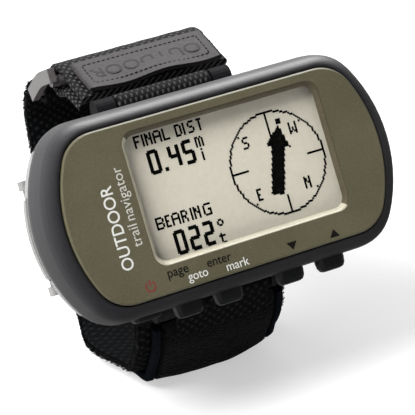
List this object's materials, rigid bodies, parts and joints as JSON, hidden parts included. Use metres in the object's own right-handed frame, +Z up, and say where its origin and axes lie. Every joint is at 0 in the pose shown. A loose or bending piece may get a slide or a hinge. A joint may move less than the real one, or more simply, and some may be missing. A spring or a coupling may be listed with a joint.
{
  "type": "wrist gps receiver",
  "caption": "Wide rounded electronic navigation unit with a recessed screen, side keys, end battery door and a wide woven wrist strap closed in a loop.",
  "frame": {"origin": "centre of the bounding box at the flat underside of the strap", "axes": "+X along the display, towards its right end; +Z up; the display faces -Y and up, tipped 60 degrees back from level"},
  "size_m": [0.0822, 0.076, 0.0715],
  "materials": {
    "shell_charcoal": "satin",
    "shell_back": "matte",
    "door_grey": "satin",
    "olive_plate": "satin",
    "clear_window": "gloss",
    "lcd": "satin",
    "white_plastic": "satin",
    "circuit_board": "satin",
    "antenna_ceramic": "matte",
    "black_plastic": "matte",
    "black_rubber": "matte",
    "steel": "satin",
    "cell_sleeve": "gloss",
    "webbing": "woven",
    "loop_pile": "pile",
    "binding": "smooth",
    "label_rubber": "satin",
    "ring_plastic": "gloss"
  },
  "bodies": {
    "case": {"upper_housing": "shell_charcoal", "lower_housing": "shell_back", "housing_seal": "black_rubber", "face_plate": "olive_plate", "housing_screw_1": "steel", "housing_screw_2": "steel", "housing_screw_3": "steel", "housing_screw_4": "steel", "display_window": "clear_window", "lcd_panel": "lcd", "backlight": "white_plastic", "lcd_frame": "white_plastic", "main_board": "circuit_board", "patch_antenna": "antenna_ceramic", "processor": "black_plastic", "receiver_module": "white_plastic", "beeper": "black_plastic", "compass_module": "black_plastic", "pressure_sensor": "white_plastic", "usb_connector": "steel", "key_board": "circuit_board", "power_switch": "black_plastic", "page_switch": "black_plastic", "enter_switch": "black_plastic", "down_switch": "black_plastic", "up_switch": "black_plastic", "battery_1": "cell_sleeve", "cell_contact_1": "steel", "battery_2": "cell_sleeve", "cell_contact_2": "steel", "door_hinge_pin": "steel", "strap_bar_top": "steel", "strap_bar_bottom": "steel", "upper_fold": "webbing", "lower_fold": "webbing", "long_strap": "webbing", "strap_pad": "loop_pile", "pad_binding_left": "binding", "pad_binding_right": "binding", "top_strap": "webbing", "hook_patch": "loop_pile", "label_tab": "label_rubber", "strap_ring": "ring_plastic"},
    "door": {"battery_door": "door_grey", "door_seal": "black_rubber", "contact_bridge": "steel", "latch_pin": "steel"},
    "latch": {"door_latch": "door_grey"},
    "cap": {"socket_cap": "black_rubber"},
    "power_key": {"power_button": "black_rubber"},
    "page_key": {"page_button": "black_rubber"},
    "enter_key": {"enter_button": "black_rubber"},
    "down_key": {"down_button": "black_rubber"},
    "up_key": {"up_button": "black_rubber"}
  },
  "joints": [
    {"name": "battery_door_hinge", "type": "hinge", "parent": "case", "child": "door", "pos_m": [-0.03645, -0.01024, 0.04369], "axis": [0, -0.5, -0.866], "range_deg": [0, 90]},
    {"name": "door_latch_hinge", "type": "hinge", "parent": "door", "child": "latch", "pos_m": [-0.03775, -0.01275, 0.04514], "axis": [0, -0.5, -0.866], "range_deg": [0, 55]},
    {"name": "socket_cap_hinge", "type": "hinge", "parent": "case", "child": "cap", "pos_m": [0.02965, -0.0092, 0.04309], "axis": [0, -0.5, -0.866], "range_deg": [0, 120]},
    {"name": "power_press", "type": "slide", "parent": "case", "child": "power_key", "axis": [0, 0.5, 0.866], "range_m": [0, 0.0005], "stiffness_N_per_m": 400, "springref_m": -0.0005},
    {"name": "page_press", "type": "slide", "parent": "case", "child": "page_key", "axis": [0, 0.5, 0.866], "range_m": [0, 0.0005], "stiffness_N_per_m": 400, "springref_m": -0.0005},
    {"name": "enter_press", "type": "slide", "parent": "case", "child": "enter_key", "axis": [0, 0.5, 0.866], "range_m": [0, 0.0005], "stiffness_N_per_m": 400, "springref_m": -0.0005},
    {"name": "down_press", "type": "slide", "parent": "case", "child": "down_key", "axis": [0, 0.5, 0.866], "range_m": [0, 0.0005], "stiffness_N_per_m": 400, "springref_m": -0.0005},
    {"name": "up_press", "type": "slide", "parent": "case", "child": "up_key", "axis": [0, 0.5, 0.866], "range_m": [0, 0.0005], "stiffness_N_per_m": 400, "springref_m": -0.0005}
  ]
}
